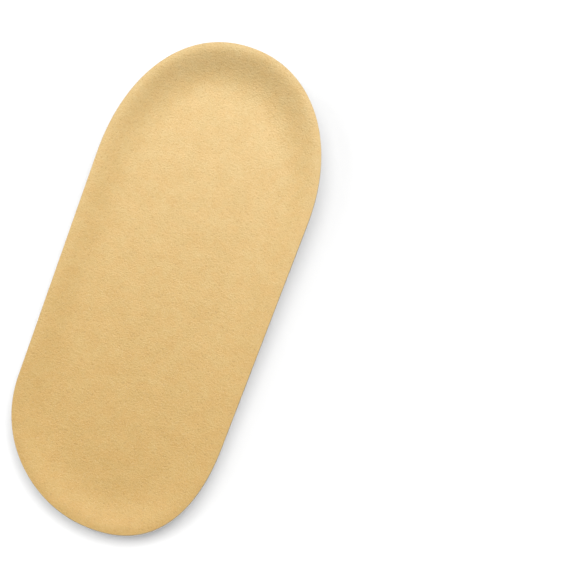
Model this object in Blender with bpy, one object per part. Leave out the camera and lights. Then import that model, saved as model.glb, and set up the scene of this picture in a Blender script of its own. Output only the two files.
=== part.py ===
# Gel heel lift: a moulded gel wedge with a dished top and a flat sole with honeycomb pockets,
# and a thin suede cover laid into the dish. Metres, +Z up, heel end at +Y, sole on z = 0.

import math
from collections import namedtuple

import bmesh
import bpy
from mathutils import Vector

# Plan outline at the rim, seen from above. The two widths are where the straight sides aim,
# and the roundness is the exponent of a superellipse: 2 is an ellipse, more is squarer.
LENGTH = 0.1230
HEEL_WIDTH = 0.0553
FRONT_WIDTH = 0.0502
HEEL_END_LENGTH = 0.0371
FRONT_END_LENGTH = 0.0288
HEEL_ROUNDNESS = 2.11
FRONT_ROUNDNESS = 2.16
HEEL_SKEW = -0.0006
FRONT_SKEW = 0.0037

# Heights of the gel at its two ends, and how far its dished top lies below the rim. The dish
# stays shallow along most of the length and deepens to a cup at the heel.
HEEL_RIM_HEIGHT = 0.0140
FRONT_RIM_HEIGHT = 0.0068
HEEL_DISH_DEPTH = 0.0049
FRONT_DISH_DEPTH = 0.0016
CUP_POWER = 4

# The rim's rounded crest, where the slope into the dish starts, and how far in from the rim
# it reaches the floor. A higher fade sets the steepest part nearer to the rim.
CREST_WIDTH = 0.0020
CREST_ROUNDING = 0.0003
SLOPE_START = 0.0005
SIDE_DISH_REACH = 0.0140
HEEL_DISH_REACH = 0.0165
FRONT_DISH_REACH = 0.0130
SLOPE_FADE = 4

# The outer wall: an upright land under the rim, then a slope that runs in to the sole
RIM_LAND = 0.0010
SIDE_FLARE = 0.0050
HEEL_FLARE = 0.0070
FRONT_FLARE = 0.0050
SOLE_FILLET = 0.0022

# Honeycomb of blind pockets in the sole
POCKET_PITCH = 0.0052
POCKET_RIB = 0.0011
POCKET_DEPTH = 0.0040
POCKET_DRAFT = 0.0003
FIELD_LAND = 0.0042
FIELD_LENGTH = 0.0620
FIELD_END_LENGTH = 0.0150
SMALLEST_POCKET = 0.22
LATTICE_SHIFT = 0.25

# Suede cover, laid on the gel with its cut edge just inside the rim
COVER_THICKNESS = 0.0011
COVER_CLEARANCE = 0.0003
COVER_EDGE_INSET = 0.0003

# Fineness of the meshes
RIM_POINTS = 72
END_SAMPLES = 240
SLOPE_STEPS = 8
STEP_GROWTH = 1.4
FILLET_STEPS = 3
FIELD_END_STEPS = 16
CUTTER_OVERRUN = 0.0010
SMOOTH_ANGLE = math.radians(35)

# Colour, roughness and metallic value of each material
GEL_LOOK = ((0.86, 0.85, 0.84, 1.0), 0.22, 0.0)
SUEDE_LOOK = ((0.72, 0.50, 0.24, 1.0), 0.92, 0.0)

RimPoint = namedtuple("RimPoint", "place outward")


def clear_scene():
    for item in list(bpy.data.objects):
        bpy.data.objects.remove(item, do_unlink=True)


def make_material(name, look):
    colour, roughness, metallic = look
    material = bpy.data.materials.new(name)
    material.use_nodes = True
    shader = material.node_tree.nodes["Principled BSDF"]
    shader.inputs["Base Color"].default_value = colour
    shader.inputs["Roughness"].default_value = roughness
    shader.inputs["Metallic"].default_value = metallic
    material.diffuse_color = colour
    return material


def add_object(name, mesh_builder, material=None):
    mesh = bpy.data.meshes.new(name)
    mesh_builder.to_mesh(mesh)
    mesh_builder.free()
    item = bpy.data.objects.new(name, mesh)
    bpy.context.scene.collection.objects.link(item)
    if material:
        mesh.materials.append(material)
        mesh.shade_smooth()
        mesh.set_sharp_from_angle(angle=SMOOTH_ANGLE)
    return item


# Plan outline


def along_length(y, front_value, heel_value):
    """A size that runs evenly from its value at the front end to its value at the heel end."""
    return front_value + (heel_value - front_value) * (y / LENGTH + 0.5)


def end_arc(end, end_length, roundness, skew):
    """One rounded end, across and back, where end is 1 for the heel and -1 for the front."""
    arc = []
    for step in range(END_SAMPLES + 1):
        angle = math.pi * step / END_SAMPLES
        across = math.copysign(abs(math.cos(angle)) ** (2 / roundness), math.cos(angle))
        along = abs(math.sin(angle)) ** (2 / roundness)
        y = end * (LENGTH / 2 - end_length * (1 - along))
        half_width = along_length(y, FRONT_WIDTH, HEEL_WIDTH) / 2
        arc.append(Vector((end * across * half_width + skew * along**2, y)))
    return arc


def evenly_spaced(loop, start, count):
    """Points at even steps along a closed line, from the corner numbered start."""
    loop = loop[start:] + loop[: start + 1]
    walked = [0.0]
    for before, after in zip(loop, loop[1:]):
        walked.append(walked[-1] + (after - before).length)
    points = []
    side = 0
    for step in range(count):
        target = walked[-1] * step / count
        while walked[side + 1] < target:
            side += 1
        share = (target - walked[side]) / (walked[side + 1] - walked[side])
        points.append(loop[side].lerp(loop[side + 1], share))
    return points


def rim_outline():
    """The rim from the heel's tip, left side first, centred on its own box."""
    heel = end_arc(1, HEEL_END_LENGTH, HEEL_ROUNDNESS, HEEL_SKEW)
    front = end_arc(-1, FRONT_END_LENGTH, FRONT_ROUNDNESS, FRONT_SKEW)
    places = evenly_spaced(heel + front, END_SAMPLES // 2, RIM_POINTS)
    middle_x = (min(place.x for place in places) + max(place.x for place in places)) / 2
    middle_y = (min(place.y for place in places) + max(place.y for place in places)) / 2
    places = [place - Vector((middle_x, middle_y)) for place in places]
    rim = []
    for index, place in enumerate(places):
        tangent = places[(index + 1) % RIM_POINTS] - places[index - 1]
        rim.append(RimPoint(place, Vector((tangent.y, -tangent.x)).normalized()))
    return rim


def round_outline(rim_point, side, heel, front):
    """A size that differs round the outline, read where the outline faces that way."""
    facing = rim_point.outward.y
    end = heel if facing > 0 else front
    return side + (end - side) * facing**2


# Gel body


def dish_insets(rim_point, first):
    """Distances in from the rim at which the dished top is drawn: the edge, then the slope."""
    reach = round_outline(rim_point, SIDE_DISH_REACH, HEEL_DISH_REACH, FRONT_DISH_REACH)
    shares = [(step / SLOPE_STEPS) ** STEP_GROWTH for step in range(SLOPE_STEPS + 1)]
    return [first] + [SLOPE_START + (reach - SLOPE_START) * share for share in shares]


def dish_depth(y):
    toward_heel = max(y / LENGTH + 0.5, 0)
    return FRONT_DISH_DEPTH + (HEEL_DISH_DEPTH - FRONT_DISH_DEPTH) * toward_heel**CUP_POWER


def dish_point(rim_point, inset):
    """A point of the gel's top: a rounded crest, then a slope that is steepest near the rim
    and fades into the floor."""
    reach = round_outline(rim_point, SIDE_DISH_REACH, HEEL_DISH_REACH, FRONT_DISH_REACH)
    place = rim_point.place - rim_point.outward * inset
    over_crest = min(inset / CREST_WIDTH, 1)
    down_slope = min(max((inset - SLOPE_START) / (reach - SLOPE_START), 0), 1)
    fallen = 1 - (1 - down_slope) ** SLOPE_FADE * (1 + SLOPE_FADE * down_slope)
    height = along_length(place.y, FRONT_RIM_HEIGHT, HEEL_RIM_HEIGHT)
    height -= CREST_ROUNDING * (1 - math.sin(math.pi / 2 * over_crest))
    height -= dish_depth(place.y) * fallen
    return Vector((place.x, place.y, height))


def wall_flare(rim_point):
    return round_outline(rim_point, SIDE_FLARE, HEEL_FLARE, FRONT_FLARE)


def wall_points(rim_point):
    """The outer wall under one rim point, down to where the sole is flat."""
    top = dish_point(rim_point, 0).z - RIM_LAND
    corner = Vector((wall_flare(rim_point), 0))
    slope = Vector((0, top)) - corner
    fillet_start = corner + slope.normalized() * SOLE_FILLET
    fillet_end = corner + Vector((SOLE_FILLET, 0))
    section = [Vector((0, top))]
    for step in range(FILLET_STEPS + 1):
        share = step / FILLET_STEPS
        first = fillet_start.lerp(corner, share)
        second = corner.lerp(fillet_end, share)
        section.append(first.lerp(second, share))
    points = []
    for inset, height in section:
        place = rim_point.place - rim_point.outward * inset
        points.append(Vector((place.x, place.y, height)))
    return points


def join_rings(builder, columns):
    """Faces between neighbouring columns of points; returns the columns' vertices."""
    columns = [[builder.verts.new(point) for point in column] for column in columns]
    for index, column in enumerate(columns):
        after = columns[(index + 1) % len(columns)]
        for step in range(len(column) - 1):
            builder.faces.new((column[step], after[step], after[step + 1], column[step + 1]))
    return columns


def fill_across(builder, loop):
    """Strips of faces across a long loop, from each left point to the right one facing it."""
    last = len(loop)
    builder.faces.new((loop[0], loop[1], loop[last - 1]))
    for index in range(1, last // 2 - 1):
        builder.faces.new((loop[index], loop[index + 1], loop[last - index - 1], loop[last - index]))
    builder.faces.new((loop[last // 2 - 1], loop[last // 2], loop[last // 2 + 1]))


def make_gel_body(rim, material):
    builder = bmesh.new()
    columns = []
    for rim_point in rim:
        top = [dish_point(rim_point, inset) for inset in reversed(dish_insets(rim_point, 0))]
        columns.append(top + wall_points(rim_point))
    columns = join_rings(builder, columns)
    fill_across(builder, [column[0] for column in columns])
    builder.faces.new([column[-1] for column in columns])
    bmesh.ops.recalc_face_normals(builder, faces=builder.faces)
    return add_object("gel_body", builder, material)


# Honeycomb pockets


def field_outline(rim):
    """The convex edge of the honeycomb: along the sole's edge, with a rounded front end."""
    inside = []
    for rim_point in rim:
        inside.append(rim_point.place - rim_point.outward * (wall_flare(rim_point) + FIELD_LAND))
    heel_y = max(place.y for place in inside)
    bend_y = heel_y - FIELD_LENGTH + FIELD_END_LENGTH
    outline = [place for place in inside if place.y > bend_y]
    left = min(outline, key=lambda place: (place.y - bend_y, place.x) if place.x < 0 else (LENGTH, 0))
    right = min(outline, key=lambda place: (place.y - bend_y, place.x) if place.x > 0 else (LENGTH, 0))
    middle_x = (left.x + right.x) / 2
    half_width = (right.x - left.x) / 2
    turn = outline.index(left) + 1
    end = []
    for step in range(1, FIELD_END_STEPS):
        angle = math.pi * step / FIELD_END_STEPS
        x = middle_x - half_width * math.cos(angle)
        end.append(Vector((x, bend_y - FIELD_END_LENGTH * math.sin(angle))))
    return outline[:turn] + end + outline[turn:]


def clipped(polygon, edge_from, edge_to):
    """The part of a polygon on the left of a line."""
    across = Vector((edge_from.y - edge_to.y, edge_to.x - edge_from.x))
    kept = []
    for before, after in zip(polygon[-1:] + polygon[:-1], polygon):
        before_depth = (before - edge_from).dot(across)
        after_depth = (after - edge_from).dot(across)
        if (before_depth > 0) != (after_depth > 0):
            kept.append(before.lerp(after, before_depth / (before_depth - after_depth)))
        if after_depth > 0:
            kept.append(after)
    return kept


def polygon_area(polygon):
    return sum(a.x * b.y - b.x * a.y for a, b in zip(polygon, polygon[1:] + polygon[:1])) / 2


def pocket_mouths(field):
    """The hexagons of the honeycomb, each cut off where it crosses the field's edge."""
    opening = POCKET_PITCH - POCKET_RIB
    corner_radius = opening / math.sqrt(3)
    corners = [math.radians(90 + 60 * step) for step in range(6)]
    hexagon = [Vector((math.cos(angle), math.sin(angle))) * corner_radius for angle in corners]
    row_step = POCKET_PITCH * math.sqrt(3) / 2
    first_y = max(place.y for place in field) - POCKET_PITCH / 2
    rows = math.ceil(FIELD_LENGTH / row_step)
    most_across = math.ceil(max(HEEL_WIDTH, FRONT_WIDTH) / POCKET_PITCH / 2)
    mouths = []
    for row in range(rows):
        shift = LATTICE_SHIFT if row % 2 else -LATTICE_SHIFT
        for place in range(-most_across, most_across + 1):
            centre = Vector(((place + shift) * POCKET_PITCH, first_y - row * row_step))
            mouth = [centre + corner for corner in hexagon]
            for edge_from, edge_to in zip(field, field[1:] + field[:1]):
                mouth = clipped(mouth, edge_from, edge_to) if mouth else mouth
            if mouth and polygon_area(mouth) > SMALLEST_POCKET * polygon_area(hexagon):
                mouths.append(mouth)
    return mouths


def make_pocket_cutter(rim):
    """Drafted plugs, one in each pocket, that stand out below the sole."""
    opening = POCKET_PITCH - POCKET_RIB
    floor_share = (opening - 2 * POCKET_DRAFT) / opening
    builder = bmesh.new()
    for mouth in pocket_mouths(field_outline(rim)):
        centre = sum(mouth, Vector((0, 0))) / len(mouth)
        columns = []
        for corner in mouth:
            floor = centre.lerp(corner, floor_share)
            below = Vector((corner.x, corner.y, -CUTTER_OVERRUN))
            at_sole = Vector((corner.x, corner.y, 0))
            columns.append([below, at_sole, Vector((floor.x, floor.y, POCKET_DEPTH))])
        columns = join_rings(builder, columns)
        builder.faces.new([column[0] for column in columns])
        builder.faces.new([column[-1] for column in columns])
    bmesh.ops.recalc_face_normals(builder, faces=builder.faces)
    cutter = add_object("pocket_cutter", builder)
    cutter.hide_render = True
    cutter.display_type = "WIRE"
    return cutter


def cut_pockets(body, cutter):
    cut = body.modifiers.new("honeycomb", "BOOLEAN")
    cut.operation = "DIFFERENCE"
    cut.solver = "EXACT"
    cut.object = cutter


# Suede cover


def make_suede_cover(rim, material):
    """A sheet on the dished top, lifted by the clearance and then given its thickness upwards."""
    builder = bmesh.new()
    columns = []
    for rim_point in rim:
        insets = dish_insets(rim_point, COVER_EDGE_INSET)
        columns.append([dish_point(rim_point, inset) for inset in insets])
    columns = join_rings(builder, columns)
    fill_across(builder, [column[-1] for column in columns])
    builder.normal_update()
    for corner in builder.verts:
        corner.co += corner.normal * COVER_CLEARANCE
    cover = add_object("suede_cover", builder, material)
    thickness = cover.modifiers.new("thickness", "SOLIDIFY")
    thickness.thickness = COVER_THICKNESS
    thickness.offset = 1
    return cover


def main():
    clear_scene()
    rim = rim_outline()
    body = make_gel_body(rim, make_material("gel", GEL_LOOK))
    cut_pockets(body, make_pocket_cutter(rim))
    make_suede_cover(rim, make_material("suede", SUEDE_LOOK))


main()
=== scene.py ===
import math

import bpy
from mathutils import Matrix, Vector


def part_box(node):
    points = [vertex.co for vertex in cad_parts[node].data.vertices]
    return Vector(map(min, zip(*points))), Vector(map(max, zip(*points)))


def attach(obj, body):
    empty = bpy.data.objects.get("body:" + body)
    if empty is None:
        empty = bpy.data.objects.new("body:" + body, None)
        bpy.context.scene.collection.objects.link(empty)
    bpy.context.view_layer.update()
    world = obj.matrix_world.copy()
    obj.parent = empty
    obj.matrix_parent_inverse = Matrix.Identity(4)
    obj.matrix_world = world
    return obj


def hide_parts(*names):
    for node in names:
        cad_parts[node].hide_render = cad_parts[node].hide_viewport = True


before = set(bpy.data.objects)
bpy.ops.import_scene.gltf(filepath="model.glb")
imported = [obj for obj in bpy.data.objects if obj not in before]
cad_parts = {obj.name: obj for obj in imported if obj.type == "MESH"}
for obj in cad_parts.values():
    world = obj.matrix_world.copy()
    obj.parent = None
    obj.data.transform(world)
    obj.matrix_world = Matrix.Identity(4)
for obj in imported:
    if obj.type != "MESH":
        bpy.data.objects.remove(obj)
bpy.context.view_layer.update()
gelLow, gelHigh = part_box("gel_body")
scene = bpy.context.scene
print("frame loaded, gel", [round(v * 1000, 1) for v in gelHigh - gelLow], "mm")


# Node helpers

def addNode(tree, kind, **settings):
    node = tree.nodes.new(kind)
    for setting, value in settings.items():
        setattr(node, setting, value)
    return node


def feed(tree, socket, value):
    if isinstance(value, Field):
        value = value.socket
    if isinstance(value, bpy.types.NodeSocket):
        tree.links.new(value, socket)
    else:
        socket.default_value = value


def plug(node, **values):  # feeds a node's sockets by name, with _ for a blank
    tree = node.id_data
    for name, value in values.items():
        label = name.replace("_", " ")
        socket = next(s for s in node.inputs if s.name == label and s.enabled)
        feed(tree, socket, value)
    return node


class Field:  # a socket that takes part in sums, so that a shape reads as its formula
    def __init__(self, tree, socket):
        self.tree = tree
        self.socket = socket

    def calc(self, operation, *values):
        node = addNode(self.tree, "ShaderNodeMath", operation=operation)
        for socket, value in zip(node.inputs, values):
            feed(self.tree, socket, value)
        return Field(self.tree, node.outputs[0])

    def __add__(self, other):
        return self.calc("ADD", self, other)

    def __radd__(self, other):
        return self.calc("ADD", other, self)

    def __sub__(self, other):
        return self.calc("SUBTRACT", self, other)

    def __rsub__(self, other):
        return self.calc("SUBTRACT", other, self)

    def __mul__(self, other):
        return self.calc("MULTIPLY", self, other)

    def __rmul__(self, other):
        return self.calc("MULTIPLY", other, self)

    def __truediv__(self, other):
        return self.calc("DIVIDE", self, other)

    def __rtruediv__(self, other):
        return self.calc("DIVIDE", other, self)

    def sine(self):
        return self.calc("SINE", self)

    def root(self):
        return self.calc("SQRT", self)

    def power(self, other):
        return self.calc("POWER", self, other)

    def rounded(self):
        return self.calc("ROUND", self)

    def fraction(self):
        return self.calc("FRACT", self)

    def remainder(self, other):
        return self.calc("MODULO", self, other)

    def above(self, other):
        return self.calc("GREATER_THAN", self, other)

    def atMost(self, other):
        return self.calc("MINIMUM", self, other)

    def atLeast(self, other):
        return self.calc("MAXIMUM", self, other)

    def share(self, start, end):  # 0 at start, 1 at end, and held beyond
        node = addNode(self.tree, "ShaderNodeMapRange", clamp=True)
        plug(node, Value=self, From_Min=start, From_Max=end)
        return Field(self.tree, node.outputs["Result"])


def vectorFrom(tree, x, y, z):
    node = addNode(tree, "ShaderNodeCombineXYZ")
    plug(node, X=x, Y=y, Z=z)
    return node.outputs[0]


def axesOf(tree, vector):
    node = addNode(tree, "ShaderNodeSeparateXYZ")
    feed(tree, node.inputs[0], vector)
    return [Field(tree, socket) for socket in node.outputs]


def newTree(name, sizes, objects=()):
    tree = bpy.data.node_groups.new(name, "GeometryNodeTree")
    tree.interface.new_socket("Geometry", in_out="INPUT", socket_type="NodeSocketGeometry")
    for label in sizes:
        tree.interface.new_socket(label, in_out="INPUT", socket_type="NodeSocketFloat")
    for label in objects:
        tree.interface.new_socket(label, in_out="INPUT", socket_type="NodeSocketObject")
    tree.interface.new_socket("Geometry", in_out="OUTPUT", socket_type="NodeSocketGeometry")
    entry = addNode(tree, "NodeGroupInput")
    inputs = {socket.name: Field(tree, socket) for socket in entry.outputs if socket.name}
    return tree, inputs


def join(tree, *parts):
    node = addNode(tree, "GeometryNodeJoinGeometry")
    for part in parts:
        feed(tree, node.inputs[0], part)
    return node.outputs[0]


def flip(tree, mesh):
    return plug(addNode(tree, "GeometryNodeFlipFaces"), Mesh=mesh).outputs[0]


def merge(tree, geometry, gap):  # makes corners that lie within the gap one
    return plug(addNode(tree, "GeometryNodeMergeByDistance"), Geometry=geometry, Distance=gap).outputs[0]


def position(tree):
    return addNode(tree, "GeometryNodeInputPosition").outputs[0]


def endTree(tree, geometry, material, second=None):  # second is a choice of faces and their own material
    realized = plug(addNode(tree, "GeometryNodeRealizeInstances"), Geometry=geometry).outputs[0]
    finished = plug(addNode(tree, "GeometryNodeSetMaterial"), Geometry=realized, Material=material).outputs[0]
    if second:
        choice, other = second
        node = addNode(tree, "GeometryNodeSetMaterial")
        finished = plug(node, Geometry=finished, Selection=choice, Material=other).outputs[0]
    feed(tree, addNode(tree, "NodeGroupOutput").inputs[0], finished)


def runTree(item, tree, values):  # runs the tree on the object and keeps the result as its plain mesh
    modifier = item.modifiers.new(tree.name, "NODES")
    modifier.node_group = tree
    for socket in tree.interface.items_tree:
        if socket.in_out == "INPUT" and socket.name in values:
            modifier[socket.identifier] = values[socket.name]
    keepResult(item)
    return item


def keepResult(item):  # turns the modifiers' result into the object's own mesh
    graph = bpy.context.evaluated_depsgraph_get()
    mesh = bpy.data.meshes.new_from_object(item.evaluated_get(graph), depsgraph=graph)
    item.modifiers.clear()
    item.data = mesh
    mesh.name = item.name
    while len(mesh.materials) and mesh.materials[0] is None:  # the bare outline's empty slot
        mesh.materials.pop(index=0)


def newObject(name, corners, faces):
    mesh = bpy.data.meshes.new(name)
    mesh.from_pydata(corners, [], faces)
    item = bpy.data.objects.new(name, mesh)
    scene.collection.objects.link(item)
    return item


# Materials

def newMaterial(name, colour, **surface):
    material = bpy.data.materials.new(name)
    material.use_nodes = True
    material.diffuse_color = (*colour, 1)
    shader = material.node_tree.nodes["Principled BSDF"]
    plug(shader, Base_Color=(*colour, 1), **surface)
    return material, material.node_tree, shader


def noiseField(tree, place, scale, detail=2.0, roughness=0.5):
    node = addNode(tree, "ShaderNodeTexNoise")
    plug(node, Vector=place, Scale=scale, Detail=detail, Roughness=roughness)
    return Field(tree, node.outputs["Factor"] if "Factor" in node.outputs else node.outputs["Fac"])


def mixColour(tree, factor, first, second):
    node = addNode(tree, "ShaderNodeMix", data_type="RGBA")
    for name, value in (("Factor", factor), ("A", first), ("B", second)):
        socket = next(s for s in node.inputs if s.name == name and s.enabled)
        feed(tree, socket, value)
    return next(s for s in node.outputs if s.enabled)


# Each channel follows the amount with its own power, so that darker nap leans to orange
def brighter(tree, colour, amount, leaning):
    powers = [amount.power(share) for share in leaning]
    return timesColour(tree, colour, vectorFrom(tree, *powers))


def timesColour(tree, colour, tint):
    node = addNode(tree, "ShaderNodeVectorMath", operation="MULTIPLY")
    feed(tree, node.inputs[0], colour)
    feed(tree, node.inputs[1], tint)
    return node.outputs[0]


def bumpFrom(tree, height, strength, distance, under=None):
    node = addNode(tree, "ShaderNodeBump")
    plug(node, Height=height, Strength=strength, Distance=distance)
    if under:
        plug(node, Normal=under)
    return node.outputs[0]


gelLook = {
    "colour": (0.80, 0.795, 0.785),
    "roughness": 0.20,
    "glow": 0.45,             # subsurface weight
    "glowReach": 0.004,       # how far light spreads under the skin
    "rippleSize": 0.009,      # slow unevenness of the moulded skin
    "rippleDepth": 0.00006,
    "pebbleSize": 0.0009,     # fine satin texture left by the mould
    "pebbleDepth": 0.000010,
    "cloudColour": (0.76, 0.762, 0.765),
    "cloudScale": 90.0,       # faint clouds in the gel, per metre
}


def makeGelMaterial(look):
    material, tree, shader = newMaterial(
        "milkyGel", look["colour"], IOR=1.43, Subsurface_Weight=look["glow"],
        Subsurface_Scale=look["glowReach"], Subsurface_Radius=(1.0, 0.95, 0.9),
    )
    place = addNode(tree, "ShaderNodeTexCoord").outputs["Object"]
    ripple = noiseField(tree, place, 1 / look["rippleSize"])
    pebble = noiseField(tree, place, 1 / look["pebbleSize"], 3.0)
    cloud = noiseField(tree, place, look["cloudScale"], 3.0)
    milky = mixColour(tree, cloud.share(0.35, 0.7), (*look["colour"], 1), (*look["cloudColour"], 1))
    plug(shader, Base_Color=milky)
    plug(shader, Roughness=cloud.share(0.2, 0.8) * 0.10 + (look["roughness"] - 0.05))
    slow = bumpFrom(tree, ripple, 0.5, look["rippleDepth"])
    plug(shader, Normal=bumpFrom(tree, pebble, 0.5, look["pebbleDepth"], slow))
    return material


suedeLook = {
    "frontColour": (0.624, 0.386, 0.108),
    "heelPaintedSheen": (0.668, 0.465, 0.192),     # painted sheen: paler towards the heel, for the brighter light that falls there
    "pitColour": (0.42, 0.235, 0.058),
    "tipColour": (0.80, 0.60, 0.32),
    "warm": (1.012, 0.988, 0.945),           # tints of the nap's faint patches
    "cool": (0.995, 1.008, 1.000),
    "brushed": 0.028,                        # how much lighter or darker they are
    "leaning": (0.67, 1.0, 1.93),            # how strongly red, green and blue follow that
    "clump": 0.17,                           # contrast of the small clumps of nap
    "clumpSize": 0.0012,
    "patchSize": 0.0042,
    "grainSize": 0.00050,
    "grainDepth": 0.00021,
    "creaseDepth": 0.00004,
    "cutEdgeAndShade": (0.36, 0.29, 0.18),           # the laminate's cut edge, and the fibres in it; their own tan-grey made darker as painted shade along the edge
    "cutFibre": (0.38, 0.29, 0.165),
    "cutFibreScale": 2600.0,
    "cutDepth": 0.00006,
}


def makeSuedeMaterial(look):
    material, tree, shader = newMaterial(
        "tanSuede", look["frontColour"], Roughness=0.57, Sheen_Weight=0.10, Sheen_Roughness=0.5,
        Sheen_Tint=(1.0, 0.92, 0.78, 1), Specular_IOR_Level=0.72,
    )
    place = addNode(tree, "ShaderNodeTexCoord").outputs["Object"]
    patch = noiseField(tree, place, 1 / look["patchSize"], 4.0, 0.55)
    grain = noiseField(tree, place, 1 / look["grainSize"], 3.0, 0.65)
    fibre = noiseField(tree, place, 2.3 / look["grainSize"], 2.0, 0.6)
    x, y, z = axesOf(tree, place)
    # painted sheen: the colour turns paler towards the heel, standing in for the brighter light on the heel's
    # end
    toHeel = (y + (patch - 0.5) * 0.02).share(gelLow.y, gelHigh.y).power(1.4)
    tone = mixColour(tree, toHeel, (*look["frontColour"], 1), (*look["heelPaintedSheen"], 1))
    brushed = 1 - look["brushed"] + patch.share(0.36, 0.64) * (2 * look["brushed"])
    light = brighter(tree, tone, brushed, look["leaning"])
    blotch = noiseField(tree, place, 1.7 / look["patchSize"], 2.0, 0.5)
    tint = mixColour(tree, blotch.share(0.40, 0.60), (*look["warm"], 1), (*look["cool"], 1))
    light = timesColour(tree, light, tint)
    clump = noiseField(tree, place, 1 / look["clumpSize"], 3.0, 0.6)
    light = brighter(tree, light, 1 + (clump - 0.5) * look["clump"], look["leaning"])
    pits = mixColour(tree, grain.share(0.42, 0.30) * 0.55, light, (*look["pitColour"], 1))
    tips = mixColour(tree, fibre.share(0.52, 0.74) * 0.45, pits, (*look["tipColour"], 1))
    plug(shader, Base_Color=tips)
    soft = bumpFrom(tree, patch, 0.5, look["creaseDepth"])
    plug(shader, Normal=bumpFrom(tree, grain + fibre * 0.5, 0.7, look["grainDepth"], soft))
    return material


def makeEdgeMaterial(look):
    material, tree, shader = newMaterial(
        "suedeCutEdge", look["cutEdgeAndShade"], Roughness=0.9, Specular_IOR_Level=0.2,
    )
    place = addNode(tree, "ShaderNodeTexCoord").outputs["Object"]
    fibre = noiseField(tree, place, look["cutFibreScale"], 3.0, 0.6)
    # painted shade: the cut edge's colour is set darker than its own tan-grey, for the shade along the edge
    mixed = mixColour(tree, fibre.share(0.35, 0.65), (*look["cutEdgeAndShade"], 1), (*look["cutFibre"], 1))
    plug(shader, Base_Color=mixed)
    plug(shader, Normal=bumpFrom(tree, fibre, 0.6, look["cutDepth"]))
    return material


gelMaterial = makeGelMaterial(gelLook)
suedeMaterial = makeSuedeMaterial(suedeLook)
edgeMaterial = makeEdgeMaterial(suedeLook)
print("materials made")


# Plan outline, the same for the gel and the cover

plan = {
    "heelWidth": 0.0553,     # where the straight sides aim at the heel's tip
    "frontWidth": 0.0502,
    "heelEnd": 0.0371,       # length of each rounded end
    "frontEnd": 0.0288,
    "heelRoundness": 2.11,
    "frontRoundness": 2.16,
    "heelSkew": -0.0006,     # sideways set of each end's tip
    "frontSkew": 0.0037,
    "halfPoints": 150,
    "samples": 1500,
}


# A point on one end's right half, as (x, y, skew), with the angle 0 at the side and a quarter turn at the tip
def planPoint(end, angle):
    length = gelHigh.y - gelLow.y
    endLength = plan["heelEnd"] if end > 0 else plan["frontEnd"]
    roundness = plan["heelRoundness"] if end > 0 else plan["frontRoundness"]
    skew = plan["heelSkew"] if end > 0 else plan["frontSkew"]
    across = max(math.cos(angle), 0) ** (2 / roundness)
    along = math.sin(angle) ** (2 / roundness)
    y = end * (length / 2 - endLength * (1 - along))
    width = plan["frontWidth"] + (plan["heelWidth"] - plan["frontWidth"]) * (y / length + 0.5)
    return across * width / 2, y, skew * along**2


def rimLoop():  # counterclockwise from the heel's tip; left and right points face each other
    steps = plan["samples"]
    angles = [math.pi / 2 * step / steps for step in range(steps + 1)]
    half = [planPoint(1, angle) for angle in reversed(angles)] + [planPoint(-1, angle) for angle in angles]
    walked = [0.0]
    for before, after in zip(half, half[1:]):
        walked.append(walked[-1] + math.hypot(after[0] - before[0], after[1] - before[1]))
    right = []
    side = 0
    for step in range(plan["halfPoints"] + 1):
        target = walked[-1] * step / plan["halfPoints"]
        while side < len(half) - 2 and walked[side + 1] < target:
            side += 1
        share = (target - walked[side]) / max(walked[side + 1] - walked[side], 1e-12)
        right.append([a + (b - a) * min(share, 1) for a, b in zip(half[side], half[side + 1])])
    left = [Vector((skew - x, y, 0)) for x, y, skew in right]
    rest = [Vector((skew + x, y, 0)) for x, y, skew in reversed(right[1:-1])]
    loop = left + rest
    low = Vector((min(p.x for p in loop), min(p.y for p in loop), 0))
    high = Vector((max(p.x for p in loop), max(p.y for p in loop), 0))
    stretch = [(gelHigh[axis] - gelLow[axis]) / (high[axis] - low[axis]) for axis in (0, 1)]
    return [
        Vector((gelLow.x + (p.x - low.x) * stretch[0], gelLow.y + (p.y - low.y) * stretch[1], 0))
        for p in loop
    ]


rim = rimLoop()
outwards = []
for index, place in enumerate(rim):
    tangent = rim[(index + 1) % len(rim)] - rim[index - 1]
    outwards.append(Vector((tangent.y, -tangent.x, 0)).normalized())


def rimFace(name):  # the outline as one face that knows which way each corner faces
    item = newObject(name, rim, [range(len(rim))])
    facing = item.data.attributes.new("outward", "FLOAT_VECTOR", "POINT")
    for index, outward in enumerate(outwards):
        facing.data[index].vector = outward
    return item


# Rings and sections

wedge = {
    "length": gelHigh.y - gelLow.y,
    "heelRim": 0.0140,        # height of the gel's rim at each end
    "frontRim": 0.0068,
    "heelDepth": 0.0049,      # how far the dish lies below the rim
    "frontDepth": 0.0016,
    "cupPower": 4.0,          # how late along the length it deepens to the heel cup
    "slopeStart": 0.0005,     # where the slope into the dish starts, in from the rim
    "sideReach": 0.0140,      # how far in from the rim the dish reaches its floor
    "heelReach": 0.0165,
    "frontReach": 0.0130,
    "fade": 4.0,              # how near the rim the slope is steepest
    "lip": 0.0003,            # small round on the gel's top edge
    "spine": 0.0330,          # half length of the line on which the floor's rings close
    "land": 0.0010,           # upright band under the rim
    "sideFlare": 0.0050,      # how far the wall runs in on its way down
    "heelFlare": 0.0070,
    "frontFlare": 0.0050,
    "fillet": 0.0022,
    "soleFlat": 0.0006,       # flat ring inside the fillet
    "wallBulge": 0.0003,
    "startInset": 0.0,
}


ringGap = 0.00001             # rings that close up nearer than this become one point
seamGap = 0.000005            # the same between the surfaces that meet at a rim
rings = {  # how many rings each surface has
    "gelDish": (8, 22, 10),   # on the crest, the slope and the floor
    "gelWall": (8, 7),        # on the wall and the fillet
    "sheetDish": (6, 30, 14),
}


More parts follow.
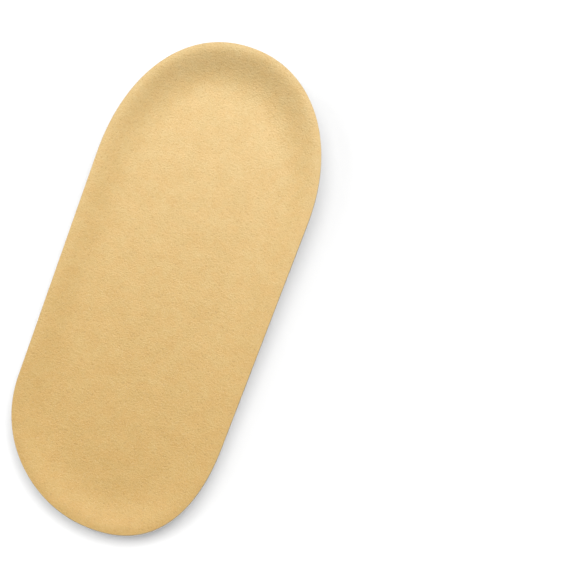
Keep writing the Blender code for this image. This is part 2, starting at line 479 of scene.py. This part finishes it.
def ringStack(tree, face, count):  # extrudes the face over itself and numbers the rings
    marked = addNode(tree, "GeometryNodeStoreNamedAttribute", data_type="BOOLEAN", domain="FACE")
    plug(marked, Geometry=face, Name="cap", Value=True)
    numbered = addNode(tree, "GeometryNodeStoreNamedAttribute", data_type="INT", domain="POINT")
    plug(numbered, Geometry=marked.outputs[0], Name="ring", Value=0)
    start = addNode(tree, "GeometryNodeRepeatInput")
    end = addNode(tree, "GeometryNodeRepeatOutput")
    start.pair_with_output(end)
    plug(start, Iterations=count, Geometry=numbered.outputs[0])
    extrude = addNode(tree, "GeometryNodeExtrudeMesh", mode="FACES")
    plug(extrude, Mesh=start.outputs["Geometry"], Selection=named(tree, "cap", "BOOLEAN"))
    plug(extrude, Offset_Scale=0.0, Individual=False)
    top = extrude.outputs["Top"]
    capAgain = addNode(tree, "GeometryNodeStoreNamedAttribute", data_type="BOOLEAN", domain="FACE")
    plug(capAgain, Geometry=extrude.outputs["Mesh"], Name="cap", Value=top)
    ringAgain = addNode(tree, "GeometryNodeStoreNamedAttribute", data_type="INT", domain="POINT")
    plug(ringAgain, Geometry=capAgain.outputs[0], Name="ring", Selection=top)
    plug(ringAgain, Value=Field(tree, start.outputs["Iteration"]) + 1)
    plug(end, Geometry=ringAgain.outputs[0])
    return end.outputs["Geometry"]


def named(tree, name, kind):
    node = addNode(tree, "GeometryNodeInputNamedAttribute", data_type=kind)
    plug(node, Name=name)
    return node.outputs["Attribute"]


def roundOutline(facing, side, heel, front):  # a size that differs at the sides and at the two ends
    toHeel = facing.atLeast(0)
    toFront = facing.atMost(0)
    return side + (heel - side) * toHeel * toHeel + (front - side) * toFront * toFront


def alongLength(y, sizes, front, heel):
    return front + (heel - front) * (y / sizes["length"] + 0.5)


def dishSurface(tree, sizes, face, crestRings, slopeRings, floorRings):
    total = crestRings + slopeRings + floorRings
    stack = ringStack(tree, face, total)
    ring = Field(tree, named(tree, "ring", "INT"))
    outX, outY, outZ = axesOf(tree, named(tree, "outward", "FLOAT_VECTOR"))
    x, y, z = axesOf(tree, position(tree))
    reach = roundOutline(outY, sizes["sideReach"], sizes["heelReach"], sizes["frontReach"])
    crest = ring.share(0, crestRings)
    toSpine = ring.share(crestRings + slopeRings, total)
    inset = sizes["startInset"] + crest * crest * (sizes["slopeStart"] - sizes["startInset"])
    inset = inset + ring.share(crestRings, crestRings + slopeRings) * (reach - sizes["slopeStart"])
    insideX = x - outX * inset
    insideY = y - outY * inset
    spineY = y.atMost(sizes["spine"]).atLeast(0 - sizes["spine"])
    placeX = insideX * (1 - toSpine)
    placeY = insideY + (spineY - insideY) * toSpine
    offLip = 1 - (inset / sizes["lip"].atLeast(0.00001)).atMost(1)
    lipRound = (1 - offLip * offLip).atLeast(0)
    downSlope = inset.share(sizes["slopeStart"], reach)
    left = 1 - downSlope
    fallen = 1 - left.power(sizes["fade"]) * (1 + sizes["fade"] * downSlope)
    cup = (placeY / sizes["length"] + 0.5).atLeast(0)
    depth = sizes["frontDepth"] + (sizes["heelDepth"] - sizes["frontDepth"]) * cup.power(sizes["cupPower"])
    height = alongLength(placeY, sizes, sizes["frontRim"], sizes["heelRim"])
    height = height - depth * fallen
    height = height - sizes["lip"] * (1 - lipRound.root())
    place = addNode(tree, "GeometryNodeSetPosition")
    plug(place, Geometry=stack, Position=vectorFrom(tree, placeX, placeY, height))
    opened = addNode(tree, "GeometryNodeDeleteGeometry", domain="FACE")
    plug(opened, Geometry=place.outputs[0], Selection=named(tree, "cap", "BOOLEAN"))
    return merge(tree, opened.outputs[0], ringGap)


def wallSurface(tree, sizes, face, slopeRings, filletRings):
    filleted = 1 + slopeRings + filletRings
    stack = ringStack(tree, flip(tree, face), filleted + 1)
    ring = Field(tree, named(tree, "ring", "INT"))
    outX, outY, outZ = axesOf(tree, named(tree, "outward", "FLOAT_VECTOR"))
    x, y, z = axesOf(tree, position(tree))
    flare = roundOutline(outY, sizes["sideFlare"], sizes["heelFlare"], sizes["frontFlare"])
    edge = alongLength(y, sizes, sizes["frontRim"], sizes["heelRim"]) - sizes["lip"]
    drop = sizes["land"] - sizes["lip"]
    landFoot = edge - drop
    wallLength = (flare * flare + landFoot * landFoot).root()
    straight = 1 - sizes["fillet"] / wallLength     # share of the wall above the fillet
    overLand = ring.share(0, 1)
    downWall = ring.share(1, 1 + slopeRings)
    down = downWall * straight
    turned = ring.share(1 + slopeRings, filleted)
    bulge = (downWall * math.pi).sine() * sizes["wallBulge"]
    left = 1 - turned
    inset = left * left * (flare * down - bulge) + 2 * turned * left * flare
    inset = inset + turned * turned * (flare + sizes["fillet"])
    inset = inset + ring.share(filleted, filleted + 1) * sizes["soleFlat"]
    height = (edge - drop * overLand - landFoot * down) * left * left
    place = addNode(tree, "GeometryNodeSetPosition")
    plug(place, Geometry=stack, Position=vectorFrom(tree, x - outX * inset, y - outY * inset, height))
    return place.outputs[0]


print("section rules ready")


# Gel wedge

honeycomb = {
    "pitch": 0.0052,          # from one pocket's middle to the next
    "rib": 0.0011,
    "depth": 0.0040,
    "draft": 0.0003,
    "recess": 0.0002,         # how far the ribs stand back from the sole
    "mouthRound": 0.00015,
    "floorRound": 0.0005,
    "overrun": 0.0010,
    "firstRow": 0.0,          # set from the honeycomb's edge when it is cut
    "rows": 14,
    "columns": 12,
    "rowShift": 0.25,
    "smallest": 0.22,         # share of a full pocket that a cut one needs to be kept
}
field = {  # where the honeycomb lies on the sole
    "edgeLand": 0.0042,       # plain sole between the fillet's corner and the honeycomb
    "length": 0.0620,
    "endLength": 0.0150,
    "endSteps": 40,
}


def fieldLoop():  # the honeycomb's edge: along the sole's edge, with a rounded front end
    inside = []
    for place, outward in zip(rim, outwards):
        end = wedge["heelFlare"] if outward.y > 0 else wedge["frontFlare"]
        flare = wedge["sideFlare"] + (end - wedge["sideFlare"]) * outward.y**2
        inside.append(place - outward * (flare + field["edgeLand"]))
    bend = max(p.y for p in inside) - field["length"] + field["endLength"]
    outline = [p for p in inside if p.y > bend]
    left = min((p for p in outline if p.x < 0), key=lambda p: p.y)
    right = min((p for p in outline if p.x > 0), key=lambda p: p.y)
    middle = (left.x + right.x) / 2
    halfWidth = (right.x - left.x) / 2
    turn = outline.index(left) + 1
    front = []
    for step in range(1, field["endSteps"]):
        angle = math.pi * step / field["endSteps"]
        x = middle - halfWidth * math.cos(angle)
        front.append(Vector((x, bend - field["endLength"] * math.sin(angle), 0)))
    return outline[:turn] + front + outline[turn:]


def makeGelWedge():
    tree, sizes = newTree("gelWedgeShape", list(wedge))
    face = sizes["Geometry"]
    dish = dishSurface(tree, sizes, face, *rings["gelDish"])
    wall = wallSurface(tree, sizes, face, *rings["gelWall"])
    endTree(tree, merge(tree, join(tree, dish, wall), seamGap), gelMaterial)
    return runTree(rimFace("gelWedge"), tree, wedge)


def pocketPlug(tree, sizes):  # one pocket's hexagon, as a plug that stands out below the sole
    circle = addNode(tree, "GeometryNodeMeshCircle", fill_type="NGON")
    hexagon = plug(circle, Vertices=6, Radius=1.0).outputs[0]
    closed = join(tree, ringStack(tree, hexagon, 4), flip(tree, hexagon))
    ring = Field(tree, named(tree, "ring", "INT"))
    steps = [ring.share(step, step + 1) for step in range(4)]
    radius = (sizes["pitch"] - sizes["rib"]) * (1 / math.sqrt(3)) + sizes["mouthRound"] * (1 - steps[1])
    radius = radius - steps[2] * sizes["draft"] - steps[3] * sizes["floorRound"]
    straight = sizes["depth"] - sizes["recess"] - sizes["mouthRound"] - sizes["floorRound"]
    height = steps[0] * (sizes["overrun"] + sizes["recess"]) - sizes["overrun"]
    height = height + steps[1] * sizes["mouthRound"] + steps[2] * straight + steps[3] * sizes["floorRound"]
    x, y, z = axesOf(tree, position(tree))
    place = addNode(tree, "GeometryNodeSetPosition")
    plug(place, Geometry=closed, Position=vectorFrom(tree, x * radius, y * radius, height))
    return merge(tree, place.outputs[0], ringGap)


def fieldPrism(tree, face, low, high):  # the honeycomb's outline between two heights
    lowered = addNode(tree, "GeometryNodeSetPosition")
    plug(lowered, Geometry=face, Offset=vectorFrom(tree, 0.0, 0.0, low))
    raised = addNode(tree, "GeometryNodeExtrudeMesh", mode="FACES")
    plug(raised, Mesh=lowered.outputs[0], Offset=(0, 0, 1), Offset_Scale=high - low, Individual=False)
    return merge(tree, join(tree, raised.outputs["Mesh"], flip(tree, lowered.outputs[0])), ringGap)


def plugGrid(tree, sizes):  # plugs in rows, every other row moved over by half a pitch
    rowStep = sizes["pitch"] * (math.sqrt(3) / 2)
    grid = addNode(tree, "GeometryNodeMeshGrid")
    plug(grid, Size_X=(sizes["columns"] - 1) * sizes["pitch"], Size_Y=(sizes["rows"] - 1) * rowStep)
    plug(grid, Vertices_X=sizes["columns"], Vertices_Y=sizes["rows"])
    x, y, z = axesOf(tree, position(tree))
    toFirst = sizes["firstRow"] - (sizes["rows"] - 1) * rowStep * 0.5
    row = ((sizes["rows"] - 1) * 0.5 - y / rowStep).rounded()
    odd = row.remainder(2.0)
    halfSpread = ((sizes["columns"] - 1) * 0.5).fraction()
    shift = (odd * 2 - 1) * sizes["rowShift"] - halfSpread
    moved = addNode(tree, "GeometryNodeSetPosition")
    plug(moved, Geometry=grid.outputs[0], Offset=vectorFrom(tree, shift * sizes["pitch"], 0.0 + toFirst, 0.0))
    copies = addNode(tree, "GeometryNodeInstanceOnPoints")
    plug(copies, Points=moved.outputs[0], Instance=pocketPlug(tree, sizes), Rotation=(0, 0, math.radians(30)))
    return plug(addNode(tree, "GeometryNodeRealizeInstances"), Geometry=copies.outputs[0]).outputs[0]


def dropSlivers(tree, sizes, plugs):  # removes the plugs of which the field's edge leaves too little
    x, y, z = axesOf(tree, addNode(tree, "GeometryNodeInputNormal").outputs[0])
    area = Field(tree, addNode(tree, "GeometryNodeInputMeshFaceArea").outputs[0])
    total = addNode(tree, "GeometryNodeAccumulateField", data_type="FLOAT", domain="FACE")
    plug(total, Value=area * (0 - z).above(0.9))
    plug(total, Group_ID=addNode(tree, "GeometryNodeInputMeshIsland").outputs["Island Index"])
    opening = sizes["pitch"] - sizes["rib"]
    least = opening * opening * (math.sqrt(3) / 2) * sizes["smallest"]
    kept = addNode(tree, "GeometryNodeDeleteGeometry", domain="FACE")
    plug(kept, Geometry=plugs, Selection=least.above(Field(tree, total.outputs["Total"])))
    return kept.outputs[0]


def cutHoneycomb(gel):
    loop = fieldLoop()
    outline = newObject("honeycombField", loop, [range(len(loop))])
    tree, sizes = newTree("honeycombSole", list(honeycomb), ["Field outline"])
    info = addNode(tree, "GeometryNodeObjectInfo")
    plug(info, Object=sizes["Field outline"])
    flat = info.outputs["Geometry"]
    clip = addNode(tree, "GeometryNodeMeshBoolean", operation="INTERSECT", solver="EXACT")
    feed(tree, clip.inputs[1], plugGrid(tree, sizes))
    feed(tree, clip.inputs[1], fieldPrism(tree, flat, sizes["overrun"] * -2, sizes["depth"] * 2))
    cut = addNode(tree, "GeometryNodeMeshBoolean", operation="DIFFERENCE", solver="EXACT")
    feed(tree, cut.inputs[0], sizes["Geometry"])
    feed(tree, cut.inputs[1], dropSlivers(tree, sizes, clip.outputs["Mesh"]))
    feed(tree, cut.inputs[1], fieldPrism(tree, flat, sizes["overrun"] * -1.5, sizes["recess"]))
    endTree(tree, cut.outputs["Mesh"], gelMaterial)
    values = dict(honeycomb)
    values["firstRow"] = max(p.y for p in loop) - honeycomb["pitch"] / 2
    values["Field outline"] = outline
    runTree(gel, tree, values)
    bpy.data.objects.remove(outline)
    return gel


def softShade(item, angle):  # an edge that turns by more than the angle, in degrees, stays sharp
    item.data.shade_smooth()
    item.data.set_sharp_from_angle(angle=math.radians(angle))


gelWedge = cutHoneycomb(makeGelWedge())
softShade(gelWedge, 32)
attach(gelWedge, "root")
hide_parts("gel_body")
print("gel wedge", len(gelWedge.data.polygons), "faces")


# Suede sheet

sheet = {
    "thickness": 0.0011,
    "clearance": 0.0003,
    "overhang": 0.00015,      # how far the sheet stands out past the gel's rim
    "edgeRound": 0.00026,
    "waveSize": 0.011,        # slow unevenness of the laid leather
    "waveHeight": 0.00010,
}


def makeSuedeSheet():
    rules = dict(wedge, lip=0.0, startInset=-sheet["overhang"])
    extra = {key: sheet[key] for key in ("thickness", "clearance", "waveSize", "waveHeight")}
    tree, sizes = newTree("suedeSheetShape", list(rules) + list(extra))
    surface = dishSurface(tree, sizes, sizes["Geometry"], *rings["sheetDish"])
    wave = noiseField(tree, position(tree), 1 / sizes["waveSize"])
    lift = sizes["clearance"] + (wave - 0.5).atLeast(-0.2) * sizes["waveHeight"]
    incline = (sizes["heelRim"] - sizes["frontRim"]) / sizes["length"]
    upwards = vectorFrom(tree, 0.0, 0 - incline, 1.0)
    under = addNode(tree, "GeometryNodeSetPosition")
    along = addNode(tree, "ShaderNodeVectorMath", operation="SCALE")
    plug(along, Vector=upwards, Scale=lift)
    plug(under, Geometry=surface, Offset=along.outputs[0])
    raised = addNode(tree, "GeometryNodeExtrudeMesh", mode="FACES")
    plug(raised, Mesh=under.outputs[0], Offset=upwards, Offset_Scale=sizes["thickness"], Individual=False)
    closed = merge(tree, join(tree, flip(tree, under.outputs[0]), raised.outputs["Mesh"]), seamGap)
    endTree(tree, closed, suedeMaterial, (raised.outputs["Side"], edgeMaterial))
    item = runTree(rimFace("suedeSheet"), tree, dict(rules, **extra))
    rounding = item.modifiers.new("cut edge", "BEVEL")
    rounding.width = sheet["edgeRound"]
    rounding.segments = 4
    rounding.limit_method = "ANGLE"
    rounding.angle_limit = math.radians(60)
    rounding.material = [slot.name for slot in item.data.materials].index(edgeMaterial.name)
    return item


def flatArea(item):  # area of one side of the sheet
    return sum(face.area for face in item.data.polygons) / 2


suedeSheet = makeSuedeSheet()
keepResult(suedeSheet)
softShade(suedeSheet, 50)
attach(suedeSheet, "root")
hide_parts("suede_cover")
print("suede sheet", len(suedeSheet.data.polygons), "faces,", round(flatArea(suedeSheet) * 1e4, 1), "cm2")


# Floor, light and camera

studio = {
    "floorSize": 3.0,
    "floorColour": (0.60, 0.60, 0.60),
    "worldLight": 0.30,       # soft light from all round
    "backdrop": 1.0,          # how bright that surround looks
    "lampSize": 0.42,
    "lampDistance": 0.60,
    "skyAngle": 37.0,         # width of the broad lights on the floor, in degrees
}
lamps = {  # turn is measured from the heel's end, towards the right
    "key": {"kind": "AREA", "rise": 50, "turn": -20, "power": 3.82},
    "leftFill": {"kind": "AREA", "rise": 30, "turn": -110, "power": 0.45},
    "rightFill": {"kind": "AREA", "rise": 30, "turn": 100, "power": 0.90},
    "floorTop": {"kind": "SUN", "rise": 88, "turn": 0, "power": 2.88},
    "floorLeft": {"kind": "SUN", "rise": 50, "turn": -110, "power": 1.33},
    "floorRight": {"kind": "SUN", "rise": 70, "turn": 70, "power": 1.03},
}
view = {
    "target": (0.02672, 0.01131, 0.0),
    "distance": 0.8,
    "elevation": 75.0,
    "azimuth": 19.48,
    "lens": 205.5,
    "sensor": 36.0,
}


def makeFloor():
    half = studio["floorSize"] / 2
    corners = [(-half, -half, 0), (half, -half, 0), (half, half, 0), (-half, half, 0)]
    floor = newObject("floor", corners, [(0, 1, 2, 3)])
    material, tree, shader = newMaterial(
        "paleFloor", studio["floorColour"], Roughness=0.6, Specular_IOR_Level=0.1,
    )
    floor.data.materials.append(material)
    return floor


def makeLamp(name, look, lit):  # a broad soft light that lights only the given pieces
    lamp = bpy.data.lights.new(name, look["kind"])
    lamp.energy = look["power"]
    if look["kind"] == "AREA":
        lamp.shape = "DISK"
        lamp.size = studio["lampSize"]
    else:
        lamp.angle = math.radians(studio["skyAngle"])
    turn = math.radians(look["turn"])
    rise = math.radians(look["rise"])
    away = Vector((math.sin(turn) * math.cos(rise), math.cos(turn) * math.cos(rise), math.sin(rise)))
    item = bpy.data.objects.new(name, lamp)
    item.location = away * studio["lampDistance"]
    item.rotation_euler = (-away).to_track_quat("-Z", "Y").to_euler()
    scene.collection.objects.link(item)
    receivers = bpy.data.collections.new(name + "Lights")
    for piece in lit:
        receivers.objects.link(piece)
    item.light_linking.receiver_collection = receivers


def makeWorld():  # lights softly, and looks brighter than it lights
    world = bpy.data.worlds.new("studio")
    world.use_nodes = True
    surround = world.node_tree.nodes["Background"]
    seen = Field(world.node_tree, addNode(world.node_tree, "ShaderNodeLightPath").outputs["Is Camera Ray"])
    strength = studio["worldLight"] + seen * (studio["backdrop"] - studio["worldLight"])
    plug(surround, Color=(1, 1, 1, 1), Strength=strength)
    scene.world = world


def makeCamera():
    turn = math.radians(view["azimuth"])
    rise = math.radians(view["elevation"])
    away = Vector((math.sin(turn) * math.cos(rise), -math.cos(turn) * math.cos(rise), math.sin(rise)))
    lens = bpy.data.cameras.new("camera")
    lens.lens = view["lens"]
    lens.sensor_width = view["sensor"]
    item = bpy.data.objects.new("camera", lens)
    item.location = Vector(view["target"]) + away * view["distance"]
    item.rotation_euler = (-away).to_track_quat("-Z", "Y").to_euler()
    scene.collection.objects.link(item)
    scene.camera = item


litBy = {"AREA": [gelWedge, suedeSheet], "SUN": [makeFloor()]}
for name, look in lamps.items():
    makeLamp(name, look, litBy[look["kind"]])
makeWorld()
makeCamera()
scene.view_settings.view_transform = "Standard"
print("stage ready")
